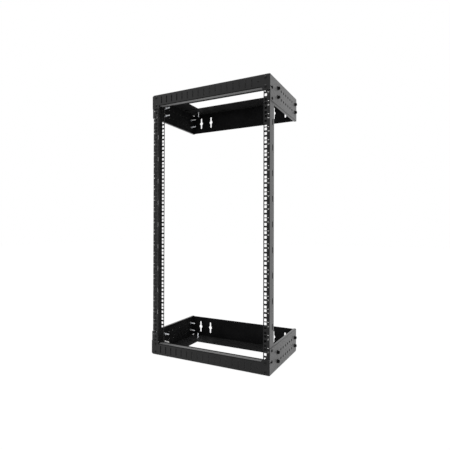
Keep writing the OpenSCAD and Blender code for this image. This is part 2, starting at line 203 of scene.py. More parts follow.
class Signal:
    """A shader socket that Python's operators extend with Math nodes."""

    def __init__(self, recipe: "Recipe", socket: bpy.types.NodeSocket) -> None:
        """Wraps one output socket of a recipe."""
        self.recipe = recipe
        self.socket = socket

    def math(self, operation: str, *values: Any) -> "Signal":
        """Adds one Math node.

        Args:
            operation: the Math node's operation.
            values: its inputs, in order, numbers or signals.

        Returns:
            The node's result.
        """
        return self.recipe.node("ShaderNodeMath", {"operation": operation}, dict(enumerate(values)))

    def __add__(self, other: Any) -> "Signal":
        """Sum."""
        return self.math("ADD", self, other)

    __radd__ = __add__

    def __sub__(self, other: Any) -> "Signal":
        """Difference."""
        return self.math("SUBTRACT", self, other)

    def __rsub__(self, other: Any) -> "Signal":
        """Difference from a number."""
        return self.math("SUBTRACT", other, self)

    def __mul__(self, other: Any) -> "Signal":
        """Product."""
        return self.math("MULTIPLY", self, other)

    __rmul__ = __mul__

    def near(self, middle: float, reach: float) -> "Signal":
        """1 where the value is no further than a reach from a middle, and 0 elsewhere."""
        return self.math("COMPARE", self, middle, reach)

    def size(self) -> "Signal":
        """The value without its sign."""
        return self.math("ABSOLUTE", self)

    def clamp(self) -> "Signal":
        """Limits the value to 0 and 1."""
        return self.math("MINIMUM", self.math("MAXIMUM", self, 0.0), 1.0)

    def toward(self, other: "Signal", share: float) -> "Signal":
        """A weighted mean, of which another value has a share."""
        return self * (1.0 - share) + other * share

    def ramp(self, low: float, high: float) -> "Signal":
        """Rises smoothly from 0 at low to 1 at high."""
        settings = {"interpolation_type": "SMOOTHSTEP"}
        return self.recipe.node("ShaderNodeMapRange", settings, {0: self, 1: low, 2: high})


class NodeTree:
    """A node tree that gets all its nodes by one method."""

    def __init__(self, tree: bpy.types.NodeTree) -> None:
        """Starts on an emptied tree."""
        self.tree = tree
        self.tree.nodes.clear()

    def add(self, kind: str, settings: Settings = None, inputs: Inputs = None) -> bpy.types.Node:
        """Adds one node, sets it up and links it.

        Args:
            kind: the node's type.
            settings: its properties, which are set first.
            inputs: values, sockets or signals for its sockets, by name or place. A list of them
                goes to one socket that takes several links.

        Returns:
            The node.
        """
        node = self.tree.nodes.new(kind)
        for key, value in (settings or {}).items():
            setattr(node, key, value)
        for key, given in (inputs or {}).items():
            for value in given if isinstance(given, list) else [given]:
                source = value.socket if isinstance(value, Signal) else value
                if isinstance(source, bpy.types.NodeSocket):
                    self.tree.links.new(source, node.inputs[key])
                else:
                    node.inputs[key].default_value = source
        return node


class Recipe(NodeTree):
    """Builds one shader tree, node by node."""

    @classmethod
    def material(cls, name: str) -> tuple["Recipe", bpy.types.Material]:
        """Starts a material.

        Args:
            name: the material's name.

        Returns:
            A recipe for its tree, and the material.
        """
        made = bpy.data.materials.new(name)
        made.use_nodes = True
        return cls(made.node_tree), made

    def node(self, kind: str, settings: Settings = None, inputs: Inputs = None, output: Key = 0) -> Signal:
        """Adds one node and gives the output that is wanted, as a signal."""
        return Signal(self, self.add(kind, settings, inputs).outputs[output])

    def object_place(self) -> Signal:
        """The surface point in the object's own coordinates."""
        return self.node("ShaderNodeTexCoord", output="Object")

    def along(self, axis: str) -> Signal:
        """One of the surface point's own coordinates."""
        return self.node("ShaderNodeSeparateXYZ", None, {0: self.object_place()}, axis)

    def blend(self, mask: Signal, first: Triple, second: Triple) -> Signal:
        """Mixes two colours, by the share of the second."""
        inputs = {0: mask, 6: (*first, 1.0), 7: (*second, 1.0)}
        return self.node("ShaderNodeMix", {"data_type": "RGBA"}, inputs, 2)

    def seen(self) -> Signal:
        """1 for what the camera sees, also in a mirror or through glass."""
        rays = ("Is Camera Ray", "Is Glossy Ray", "Is Transmission Ray")
        return sum(self.node("ShaderNodeLightPath", output=ray) for ray in rays).clamp()

    def shader_mix(self, share: Signal, first: Signal, second: Signal) -> Signal:
        """Mixes two shaders, by the share of the second."""
        return self.node("ShaderNodeMixShader", None, {0: share, 1: first, 2: second})

    def layer(self, inputs: Inputs) -> Signal:
        """One Principled layer."""
        return self.node("ShaderNodeBsdfPrincipled", None, inputs)

    def surface(self, shader: Signal, kind: str = "Material") -> None:
        """Sends a shader to the output of a material or of the world."""
        self.add("ShaderNodeOutput" + kind, None, {"Surface": shader})


@dataclass(frozen=True)
class Grain:
    """A noise on a surface: its size, its finer octaves, and the relief that it may stand for."""

    size_mm: float
    octaves: float = 2.0
    fineness: float = 0.5
    height_mm: float = 0.0
    strength: float = 0.0

    def noise(self, recipe: Recipe) -> Signal:
        """The grain's noise, on the object's own coordinates.

        Args:
            recipe: the shader tree.

        Returns:
            The noise, from 0 to 1.
        """
        inputs = {
            "Vector": recipe.object_place(),
            "Scale": 1.0 / (self.size_mm * MM),
            "Detail": self.octaves,
            "Roughness": self.fineness,
        }
        return recipe.node("ShaderNodeTexNoise", None, inputs)

    def relief(self, recipe: Recipe, noise: Signal, under: Optional[Signal] = None) -> Signal:
        """A normal from the noise.

        Args:
            recipe: the shader tree.
            noise: the grain's noise.
            under: the normal of a relief that it lies on.

        Returns:
            The normal.
        """
        inputs = {"Height": noise, "Distance": self.height_mm * MM, "Strength": self.strength}
        if under is not None:
            inputs["Normal"] = under
        return recipe.node("ShaderNodeBump", None, inputs, "Normal")


@dataclass(frozen=True)
class Stretch:
    """A stretch of sheet: middle and reach across, along and up from the rack's middle height.

    A stretch a little thinner than its sheet holds only the walls of the holes punched in it.
    """

    rack: Rack
    across: Pair
    along: Pair
    height: Pair

    def mask(self, recipe: Recipe) -> Signal:
        """Finds the stretch, alike on both sides and at both ends.

        Args:
            recipe: the shader tree.

        Returns:
            1 inside the stretch and 0 elsewhere.
        """
        x, y, z = (recipe.along(axis) for axis in "XYZ")
        values = (x.size(), y, (z - self.rack.middle * MM).size())
        spans = (self.across, self.along, self.height)
        within = [value.near(middle * MM, reach * MM) for value, (middle, reach) in zip(values, spans)]
        return within[0] * within[1] * within[2]


@dataclass(frozen=True)
class DepthRims:
    """Painted shade: dark rims round the depth holes, which make the holes read larger, on the outer faces
    of the trays' sides alone.
    """

    rack: Rack
    radius: float = 5.1
    skin: float = 0.4

    def mask(self, recipe: Recipe) -> Signal:
        """Finds the rims.

        Args:
            recipe: the shader tree.

        Returns:
            1 on the rims and 0 elsewhere.
        """
        rack = self.rack
        half = rack.depth_pitch / 2 * MM
        run = (rack.depth_holes - 1) * half
        middle = (rack.front + sum(rack.depth_columns) / 2) * MM
        low, high = rack.depth_rows
        rows_middle = (rack.height - low - high) / 2 * MM
        rows_half = (high - low) / 2 * MM
        x, y, z = (recipe.along(axis) for axis in "XYZ")
        column_off = y.math("PINGPONG", y - (middle - run), half)
        row_off = (((z - rack.middle * MM).size() - rows_middle).size() - rows_half).size()
        away = column_off * column_off + row_off * row_off
        inside = away.near(0.0, (self.radius * MM) ** 2)
        on_face = x.size().near(rack.width / 2 * MM, self.skin * MM)
        return inside * on_face * y.near(middle, run + self.radius * MM)


@dataclass(frozen=True)
class Skin:
    """How a coat answers light: its roughness, its specular level and its sheen."""

    roughness: float
    specular: float
    sheen: float


SATIN = Skin(0.24, 0.07, 0.37)
# DULL is a duller copy of the coat: mixed in by mask it paints shade, and the brackets wear it all over as
# a duller coat that also stands in for their shade.
DULL = Skin(0.40, 0.06, 0.04)


@dataclass(frozen=True)
class PowderCoat:
    """Black powder coat: a fine pebbled skin with a soft sheen, and a duller copy of the coat that paints
    shade in the places given.
    """

    name: str
    skin: Skin
    dull_places: tuple[Union[Stretch, DepthRims], ...]
    dark: Triple = (0.0025, 0.0025, 0.0027)
    light: Triple = (0.0065, 0.0065, 0.0069)
    tones: Pair = (0.35, 0.68)
    unevenness: float = 0.1
    pebbles: Grain = Grain(0.55, 2.0, 0.55, 0.02, 0.55)
    flow: Grain = Grain(5.0, 1.0, 0.5, 0.03, 0.35)
    cloud: Grain = Grain(60.0, 3.0)
    cloud_in_tone: float = 0.6
    cloud_in_roughness: float = 0.5

    def material(self) -> bpy.types.Material:
        """Builds the material from a lit layer and a dull layer that paints shade in the places given.

        Returns:
            The material.
        """
        recipe, made = Recipe.material(self.name)
        pebbles, flow, cloud = (grain.noise(recipe) for grain in (self.pebbles, self.flow, self.cloud))
        normal = self.flow.relief(recipe, flow, self.pebbles.relief(recipe, pebbles))
        cover = pebbles.toward(cloud, self.cloud_in_tone).ramp(*self.tones)
        tone = recipe.blend(cover, self.dark, self.light)
        uneven = self.unevenness * pebbles.toward(cloud, self.cloud_in_roughness)
        layers = []
        for skin in (self.skin, DULL):
            inputs = {
                "Base Color": tone,
                "Roughness": skin.roughness + uneven,
                "Normal": normal,
                "Specular IOR Level": skin.specular,
                "Sheen Weight": skin.sheen,
            }
            layers.append(recipe.layer(inputs))
        # Painted shade: the dull layer takes over in hole walls, flanges and rims round holes, to darken
        # them.
        dull = sum(dull_place.mask(recipe) for dull_place in self.dull_places).clamp()
        recipe.surface(recipe.shader_mix(dull, *layers))
        return made


@dataclass(frozen=True)
class BlackOxide:
    """Blackened steel of heads and screws: an oily dark film with fine pits."""

    name: str = "black_oxide"
    dark: Triple = (0.003, 0.003, 0.0032)
    light: Triple = (0.007, 0.007, 0.0074)
    tones: Pair = (0.4, 0.7)
    roughness: float = 0.68
    unevenness: float = 0.16
    specular: float = 0.08
    film: Grain = Grain(1.6, 3.0, 0.6)
    pits: Grain = Grain(0.25, 1.0, 0.5, 0.006, 0.5)

    def material(self) -> bpy.types.Material:
        """Builds the material.

        Returns:
            The material.
        """
        recipe, made = Recipe.material(self.name)
        film = self.film.noise(recipe)
        inputs = {
            "Base Color": recipe.blend(film.ramp(*self.tones), self.dark, self.light),
            "Roughness": self.roughness + self.unevenness * film,
            "Normal": self.pits.relief(recipe, self.pits.noise(recipe)),
            "Specular IOR Level": self.specular,
        }
        recipe.surface(recipe.layer(inputs))
        return made


@dataclass(frozen=True)
class ZincPlate:
    """Bright zinc plate with a faint blue passivation and fine drag marks."""

    cool: Triple = (0.70, 0.73, 0.78)
    warm: Triple = (0.80, 0.79, 0.76)
    tones: Pair = (0.38, 0.66)
    roughness: float = 0.24
    unevenness: float = 0.2
    tint: Grain = Grain(6.0)
    scuffs: Grain = Grain(0.4, 3.0, 0.65, 0.008, 0.5)

    def material(self) -> bpy.types.Material:
        """Builds the material.

        Returns:
            The material.
        """
        recipe, made = Recipe.material("zinc_plate")
        tint = self.tint.noise(recipe)
        scuffs = self.scuffs.noise(recipe)
        inputs = {
            "Base Color": recipe.blend(tint.ramp(*self.tones), self.cool, self.warm),
            "Roughness": self.roughness + self.unevenness * scuffs,
            "Normal": self.scuffs.relief(recipe, scuffs),
            "Metallic": 1.0,
        }
        recipe.surface(recipe.layer(inputs))
        return made


@dataclass(frozen=True)
class PrintInk:
    """Screen printed off-white ink, a little thin in places."""

    thick: Triple = (0.86, 0.86, 0.84)
    thin: Triple = (0.62, 0.62, 0.61)
    tones: Pair = (0.3, 0.6)
    roughness: float = 0.5
    unevenness: float = 0.15
    cover: Grain = Grain(0.8, 3.0, 0.6, 0.01, 0.4)

    def material(self) -> bpy.types.Material:
        """Builds the material.

        Returns:
            The material.
        """
        recipe, made = Recipe.material("print_ink")
        cover = self.cover.noise(recipe)
        inputs = {
            "Base Color": recipe.blend(cover.ramp(*self.tones), self.thin, self.thick),
            "Roughness": self.roughness + self.unevenness * cover,
            "Normal": self.cover.relief(recipe, cover),
        }
        recipe.surface(recipe.layer(inputs))
        return made


def link(item: bpy.types.Object) -> bpy.types.Object:
    """Puts an object in the scene and returns it."""
    bpy.context.scene.collection.objects.link(item)
    return item


def dress(item: bpy.types.Object, finish: bpy.types.Material) -> None:
    """Gives an object its one finish."""
    item.data.materials.clear()
    item.data.materials.append(finish)


def hand_over(item: bpy.types.Object, replaced: Sequence[str] = ()) -> None:
    """Hands a finished piece to the frame.

    Args:
        item: the piece, at the origin.
        replaced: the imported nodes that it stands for.
    """
    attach(item, BODY)
    if replaced:
        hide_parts(*replaced)
    log.info("%s: %d faces", item.name, len(item.data.polygons))


def plain_mesh(name: str, bm: bmesh.types.BMesh) -> bpy.types.Mesh:
    """Turns a solid into a mesh.

    Args:
        name: the mesh's name.
        bm: the solid, which is used up.

    Returns:
        The mesh.
    """
    mesh = bpy.data.meshes.new(name)
    bm.to_mesh(mesh)
    bm.free()
    return mesh


def shaded_mesh(name: str, bm: bmesh.types.BMesh) -> bpy.types.Mesh:
    """Turns a solid into a mesh that is smooth between its sharp edges.

    Args:
        name: the mesh's name.
        bm: the solid, which is used up.

    Returns:
        The mesh.
    """
    for face in bm.faces:
        face.smooth = True
    for edge in bm.edges:
        edge.smooth = len(edge.link_faces) == 2 and edge.calc_face_angle() < SHARP
    return plain_mesh(name, bm)


def final_mesh(worker: bpy.types.Object) -> bpy.types.Mesh:
    """Turns an object into the plain mesh that its modifiers or its text give.

    Args:
        worker: the object, which is used up.

    Returns:
        The mesh.
    """
    depsgraph = bpy.context.evaluated_depsgraph_get()
    depsgraph.update()
    mesh = bpy.data.meshes.new_from_object(worker.evaluated_get(depsgraph))
    worker.modifiers.clear()
    bpy.data.objects.remove(worker)
    return mesh


class GeometryRecipe(NodeTree):
    """Builds one Geometry Nodes tree with named inputs and runs it to a plain mesh."""

    def __init__(self, name: str) -> None:
        """Starts a tree with a geometry input and output.

        Args:
            name: the tree's name.
        """
        super().__init__(bpy.data.node_groups.new(name, "GeometryNodeTree"))
        for way in ("INPUT", "OUTPUT"):
            self.tree.interface.new_socket("Geometry", in_out=way, socket_type="NodeSocketGeometry")
        self.entry = self.add("NodeGroupInput")
        self.exit = self.add("NodeGroupOutput")
        self.identifiers: dict[str, str] = {}

    def value(self, name: str, kind: str) -> bpy.types.NodeSocket:
        """Adds a named input.

        Args:
            name: what the input is called.
            kind: its socket type, without the common prefix.

        Returns:
            The socket that carries it inside the tree.
        """
        item = self.tree.interface.new_socket(name, in_out="INPUT", socket_type="NodeSocket" + kind)
        self.identifiers[name] = item.identifier
        return self.entry.outputs[name]

    def node(
        self, kind: str, settings: Settings = None, inputs: Inputs = None, output: Key = 0
    ) -> bpy.types.NodeSocket:
        """Adds one node and gives the output that is wanted."""
        return self.add(kind, settings, inputs).outputs[output]

    def finish(self, geometry: bpy.types.NodeSocket) -> None:
        """Realizes the geometry, gives it the input named Finish and ends the tree.

        Args:
            geometry: what the tree has made.
        """
        real = self.node("GeometryNodeRealizeInstances", None, {0: geometry})
        inputs = {"Geometry": real, "Material": self.value("Finish", "Material")}
        self.tree.links.new(self.node("GeometryNodeSetMaterial", None, inputs), self.exit.inputs[0])

    def run(self, name: str, base: bpy.types.Mesh, values: dict[str, Any]) -> bpy.types.Object:
        """Runs the tree on a mesh.

        Args:
            name: the name of the piece.
            base: the mesh that the tree starts from.
            values: the named inputs.

        Returns:
            An object at the origin with the plain mesh, and with no modifier.
        """
        worker = link(bpy.data.objects.new(name + "_worker", base))
        modifier = worker.modifiers.new("nodes", "NODES")
        modifier.node_group = self.tree
        for key, value in values.items():
            modifier[self.identifiers[key]] = value
        mesh = final_mesh(worker)
        mesh.name = name
        return link(bpy.data.objects.new(name, mesh))


def ring(radius: Radius, height: float, segments: int) -> list[Vector]:
    """Points round the Z axis.

    Args:
        radius: one radius, or a function of the angle, in millimetres.
        height: the points' height in millimetres.
        segments: how many points.

    Returns:
        The points, in metres.
    """
    points = []
    for i in range(segments):
        angle = 2 * math.pi * i / segments
        r = radius(angle) if callable(radius) else radius
        points.append(Vector((r * math.cos(angle), r * math.sin(angle), height)) * MM)
    return points


def turned(profile: Sequence[tuple[Radius, float]], segments: int) -> list[list[Vector]]:
    """Rings from a profile of radii and heights, in millimetres."""
    return [ring(radius, height, segments) for radius, height in profile]


def loft(rings: Sequence[Sequence[Vector]]) -> bmesh.types.BMesh:
    """Joins rings into one closed solid, capped at both ends.

    Args:
        rings: rings with as many points each, from one end to the other.

    Returns:
        The solid, with its faces pointing outwards.
    """
    bm = bmesh.new()
    rows = [[bm.verts.new(point) for point in points] for points in rings]
    count = len(rows[0])
    for low, high in zip(rows, rows[1:]):
        for i in range(count):
            j = (i + 1) % count
            bm.faces.new((low[i], low[j], high[j], high[i]))
    bm.faces.new(tuple(reversed(rows[0])))
    bm.faces.new(tuple(rows[-1]))
    bmesh.ops.recalc_face_normals(bm, faces=bm.faces)
    return bm


@dataclass
class Thread:
    """A metric thread on a shank, as rows of a loft."""

    radius: float = 3.0
    depth: float = 0.55
    pitch: float = 1.0
    rows_per_pitch: int = 4
    tip: float = 0.8
    tip_cut: float = 0.32

    def crest(self, height: float) -> Callable[[float], float]:
        """The radius at a height, as a function of the angle.

        Args:
            height: the height along the shank in millimetres.

        Returns:
            A function that gives the radius in millimetres.
        """
        def at(angle: float) -> float:
            """The radius at an angle."""
            turn = (height / self.pitch - angle / (2 * math.pi)) % 1.0
            return self.radius - self.depth * (1.0 - abs(2.0 * turn - 1.0))
        return at

    def rows(self, start: float, end: float, segments: int) -> list[list[Vector]]:
        """Rings from a plain shank to its chamfered tip.

        Args:
            start: where the thread starts, in millimetres.
            end: the shank's end.
            segments: points in a ring.

        Returns:
            The rings, in metres.
        """
        run = end - self.tip - start
        count = round(run / self.pitch * self.rows_per_pitch)
        heights = [start + run * i / count for i in range(1, count + 1)]
        profile = [(self.radius, start)] + [(self.crest(height), height) for height in heights]
        return turned(profile + [(self.radius - self.depth - self.tip_cut, end)], segments)


@dataclass
class DepthBolt:
    """Flanged hex head with a threaded stud, which shows inside the rack.

    The dish has radii and depths below the top of the head. The skirt goes out from the flats
    and down from the flange's top. The edge goes in from the flange's radius and up from its seat.
    """

    length: float = 28.0
    grip: float = 6.0
    across_flats: float = 10.0
    head_h: float = 8.0
    dish: tuple[Pair, ...] = ((1.2, 0.8), (2.6, 0.75), (3.4, 0.05), (3.7, 0.0))
    chamfer_r: float = 0.25
    chamfer_h: float = 0.75
    chamfer_curve: float = 1.4
    chamfer_steps: int = 4
    flange_r: float = 7.1
    flange_h: float = 2.2
    skirt: tuple[Pair, ...] = ((0.75, 0.0), (1.2, 0.35))
    skirt_h: float = 0.35
    edge: tuple[Pair, ...] = ((0.3, 1.05), (0.05, 0.85), (0.0, 0.6), (0.0, 0.15), (0.1, 0.0))
    bore_gap: float = 0.05
    plain: float = 4.2
    segments: int = 36
    thread: Thread = field(default_factory=Thread)

    def hexagon(self, limit: float) -> Callable[[float], float]:
        """A hexagon's radius, turned down to a limit.

        Args:
            limit: the largest radius in millimetres.

        Returns:
            A function from the angle to the radius.
        """
        sixth = math.pi / 3

        def at(angle: float) -> float:
            """The radius at an angle."""
            off = (angle + sixth / 2) % sixth - sixth / 2
            return min(self.across_flats / 2 / math.cos(off), limit)
        return at

    def head_profile(self) -> list[tuple[Radius, float]]:
        """Goes over the head, from the dish in its top to the flange's seat.

        Returns:
            Radii and heights, in millimetres.
        """
        flats = self.across_flats / 2
        corner = flats / math.cos(math.pi / 6)
        profile = [(r, drop - self.head_h) for r, drop in self.dish]
        for step in range(self.chamfer_steps + 1):
            share = step / self.chamfer_steps
            limit = flats - self.chamfer_r + (corner - flats + self.chamfer_r) * share
            drop = self.chamfer_h * share ** self.chamfer_curve
            profile.append((self.hexagon(limit), drop - self.head_h))
        profile.append((self.hexagon(corner), -self.flange_h - self.skirt_h))
        profile += [(flats + out, down - self.flange_h) for out, down in self.skirt]
        return profile + [(self.flange_r - inset, -up) for inset, up in self.edge]

    def head(self) -> bpy.types.Mesh:
        """Builds the head, with a blind hole for the stud.

        Returns:
            The head's mesh.
        """
        bore = self.thread.radius + self.bore_gap
        profile = self.head_profile() + [(bore, 0.0), (bore, -self.grip)]
        return shaded_mesh("hex_head", loft(turned(profile, self.segments)))

    def stud(self) -> bpy.types.Mesh:
        """Builds the stud, from inside the head to its threaded end.

        Returns:
            The stud's mesh.
        """
        start = [ring(self.thread.radius, -self.grip, self.segments)]
        rows = self.thread.rows(self.plain, self.length, self.segments)
        return shaded_mesh("stud", loft(start + rows))


@dataclass
class LowScrew:
    """Low domed screw with a tapered cross recess.

    The edge goes in from the head's radius and up from its seat.
    """

    length: float = 14.0
    head_r: float = 5.5
    head_h: float = 2.8
    dome_radii: tuple[float, ...] = (0.6, 1.6, 2.6, 3.5, 4.2, 4.8, 5.2)
    edge: tuple[Pair, ...] = ((0.0, 0.25), (0.0, 0.05), (0.1, 0.0))
    fillet: float = 0.05
    plain: float = 3.0
    recess_reach: float = 2.7
    recess_width: float = 1.1
    recess_depth: float = 1.7
    recess_over: float = 1.0
    taper_reach: float = 0.62
    taper_width: float = 0.7
    segments: int = 32
    thread: Thread = field(default_factory=Thread)

    def head_profile(self) -> list[Pair]:
        """Goes over the domed head, from its top to the shank.

        Returns:
            Radii and heights, in millimetres.
        """
        dome_r = (self.head_r ** 2 + self.head_h ** 2) / (2 * self.head_h)
        dome = [(r, dome_r - math.sqrt(dome_r ** 2 - r ** 2) - self.head_h) for r in self.dome_radii]
        edge = [(self.head_r - inset, -up) for inset, up in self.edge]
        return dome + edge + [(self.thread.radius + self.fillet, 0.0), (self.thread.radius, self.fillet)]

    def recess(self) -> bpy.types.Object:
        """Builds the tapered cross that is cut out of the head.

        Returns:
            The cross, as an object.
        """
        bm = bmesh.new()
        top = (self.recess_reach, self.recess_width, -self.head_h - self.recess_over)
        bottom = (
            self.recess_reach * self.taper_reach,
            self.recess_width * self.taper_width,
            -self.head_h + self.recess_depth,
        )
        for turn in range(2):
            made = bmesh.ops.create_cube(bm, size=1.0)["verts"]
            for vert in made:
                reach, width, height = bottom if vert.co.z > 0 else top
                corner = (math.copysign(reach, vert.co.x), math.copysign(width / 2, vert.co.y), height)
                vert.co = Vector(corner) * MM
            bmesh.ops.rotate(bm, verts=made, matrix=Matrix.Rotation(math.pi / 2 * turn, 3, "Z"))
        return link(bpy.data.objects.new("recess", plain_mesh("recess", bm)))

    def mesh(self) -> bpy.types.Mesh:
        """Builds the screw with its head down and its shank along +Z.

        Returns:
            The screw's mesh.
        """
        head = turned(self.head_profile(), self.segments)
        bm = loft(head + self.thread.rows(self.plain, self.length, self.segments))
        worker = link(bpy.data.objects.new("low_screw", plain_mesh("low_screw", bm)))
        cutter = self.recess()
        cut = worker.modifiers.new("cut", "BOOLEAN")
        cut.operation = "DIFFERENCE"
        cut.object = cutter
        cut.solver = "EXACT"
        cut.use_self = True
        mesh = final_mesh(worker)
        bpy.data.objects.remove(cutter)
        bm = bmesh.new()
        bm.from_mesh(mesh)
        bpy.data.meshes.remove(mesh)
        return shaded_mesh("low_screw", bm)


@dataclass
class CageNut:
    """Spring steel cage of a square nut: a folded strip with two sprung ears."""

    side: float = 12.6
    depth: float = 6.6
    sheet: float = 0.8
    window: float = 7.4
    neck: float = 9.1
    neck_d: float = 2.0
    ear_w: float = 5.4
    ear_t: float = 0.7

    def mesh(self) -> bpy.types.Mesh:
        """Builds the cage with its neck down, its body along +Z and its open ends along Y.

        Returns:
            The cage's mesh.
        """
        half = self.side / 2
        inner = half - self.sheet
        window = self.window / 2
        neck = self.neck / 2
        bm = bmesh.new()

        def slab(first: Sequence[float], second: Sequence[float]) -> None:
            """Adds one box, in millimetres.

            Args:
                first: one corner.
                second: the opposite corner.
            """
            for vert in bmesh.ops.create_cube(bm, size=1.0)["verts"]:
                ends = zip(first, second, vert.co)
                vert.co = Vector([max(a, b) if c > 0 else min(a, b) for a, b, c in ends]) * MM

        for sign in (-1, 1):
            slab((sign * inner, -half, 0.0), (sign * half, half, self.depth))
            for low in (0.0, self.depth - self.sheet):
                high = low + self.sheet
                slab((sign * window, -half, low), (sign * inner, half, high))
                slab((-window, sign * window, low), (window, sign * half, high))
            ear = self.ear_w / 2
            slab((sign * (neck - self.ear_t), -ear, -self.neck_d), (sign * neck, ear, 0.0))
        return plain_mesh("cage", bm)


@dataclass
class Group:
    """One kind of fastener: its shape, seats and finish, and how its nodes are named."""

    name: str
    shape: bpy.types.Mesh
    seats: Sequence[Seat]
    finish: bpy.types.Material
    slot: Slot
    nodes: Callable[[str], list[str]] = corner_nodes
    turn: float = math.tau


@dataclass
class Fasteners:
    """Every bolt, screw and cage, each group placed by one tree."""

    rack: Rack
    black: bpy.types.Material
    glossy: bpy.types.Material
    zinc: bpy.types.Material
    face_plain: float = 5.0
    flange_length: float = 28.0
    flange_plain: float = 4.2
    seed: int = 23

    def tree(self) -> GeometryRecipe:
        """Instances a fastener on each seat, along its facing and turned by chance.

        Returns:
            The tree.
        """
        recipe = GeometryRecipe("fastener_seats")
        source = recipe.value("Fastener", "Object")
        spread = recipe.value("Turn", "Float")
        seed = recipe.value("Seed", "Int")
        vector = {"data_type": "FLOAT_VECTOR"}
        facing = recipe.node("GeometryNodeInputNamedAttribute", vector, {"Name": "facing"})
        chance = {2: 0.0, 3: spread, "Seed": seed}
        turn = recipe.node("FunctionNodeRandomValue", {"data_type": "FLOAT"}, chance, 1)
        spin = recipe.node("ShaderNodeCombineXYZ", None, {"Z": turn})
        base = recipe.node("FunctionNodeEulerToRotation", None, {0: spin})
        inputs = {"Rotation": base, "Vector": facing}
        aligned = recipe.node("FunctionNodeAlignRotationToVector", {"axis": "Z"}, inputs)
        shape = recipe.node("GeometryNodeObjectInfo", None, {"Object": source}, "Geometry")
        inputs = {"Points": recipe.entry.outputs[0], "Instance": shape, "Rotation": aligned}
        recipe.finish(recipe.node("GeometryNodeInstanceOnPoints", None, inputs))
        return recipe

    def scatter(self, recipe: GeometryRecipe, group: Group) -> None:
        """Puts a copy of a fastener on each seat and hands the piece to the frame.

        Args:
            recipe: the tree that places them.
            group: what goes where.
        """
        base = bpy.data.meshes.new(group.name + "_seats")
        base.from_pydata([tuple(point * MM) for point, _ in group.seats], [], [])
        facing = base.attributes.new("facing", "FLOAT_VECTOR", "POINT")
        facing.data.foreach_set("vector", [c for _, way in group.seats for c in way])
        template = link(bpy.data.objects.new(group.name + "_template", group.shape))
        values = {"Fastener": template, "Turn": group.turn, "Seed": self.seed, "Finish": group.finish}
        piece = recipe.run(group.name, base, values)
        bpy.data.objects.remove(template)
        hand_over(piece, group.nodes(group.name))

    def seats(self, out: float, columns: Sequence[float], rows: Sequence[float], way: Way) -> list[Seat]:
        """Lists the seats of a group in all four corners.

        Args:
            out: how far they lie from the rack's middle plane.
            columns: how far they lie behind the front faces.
            rows: how far they lie from the rack's ends.
            way: which way the fasteners point.

        Returns:
            The seats, corner by corner.
        """
        rack = self.rack
        return [
            (Vector((side.sign * out, rack.front + column, rack.level(end, row))), way.vector(end, side))
            for end in End for side in Side for column in columns for row in rows
        ]

    def groups(self) -> list[Group]:
        """Lists every group, in building order.

        Returns:
            The groups.
        """
        rack = self.rack
        bolt = DepthBolt()
        face_screw = LowScrew(plain=self.face_plain)
        flange_screw = LowScrew(self.flange_length, plain=self.flange_plain)
        side, column = rack.width / 2, rack.column_pitch / 2
        cage_y = rack.nested + rack.sheet
        bolt_seats = self.seats(side, rack.depth_columns, rack.depth_rows, Way.ACROSS)
        post_seats = self.seats(side, (rack.post_screw_y,), rack.post_screw_rows, Way.ACROSS)
        face_seats = self.seats(column, (0.0,), rack.face_rows(), Way.TO_WALL)
        cage_seats = self.seats(column, (cage_y,), rack.face_rows(), Way.TO_WALL)
        flange_seats = self.seats(rack.flange_screw_x, (rack.flange_screw_y,), (0.0,), Way.TO_MIDDLE)
        dark, bright = Slot.BLACK_OXIDE, Slot.ZINC_PLATE
        return [
            Group("depth_heads", bolt.head(), bolt_seats, self.black, dark),
            Group("depth_studs", bolt.stud(), bolt_seats, self.zinc, bright),
            Group("post_screws", LowScrew().mesh(), post_seats, self.black, dark),
            Group("face_screws", face_screw.mesh(), face_seats, self.glossy, dark),
            Group("flange_screws", flange_screw.mesh(), flange_seats, self.zinc, bright, end_nodes),
            Group("cages", CageNut().mesh(), cage_seats, self.zinc, bright, turn=0.0),
        ]

    def build(self) -> None:
        """Builds all the groups and hands them to the frame."""
        recipe = self.tree()
        for group in self.groups():
            self.scatter(recipe, group)


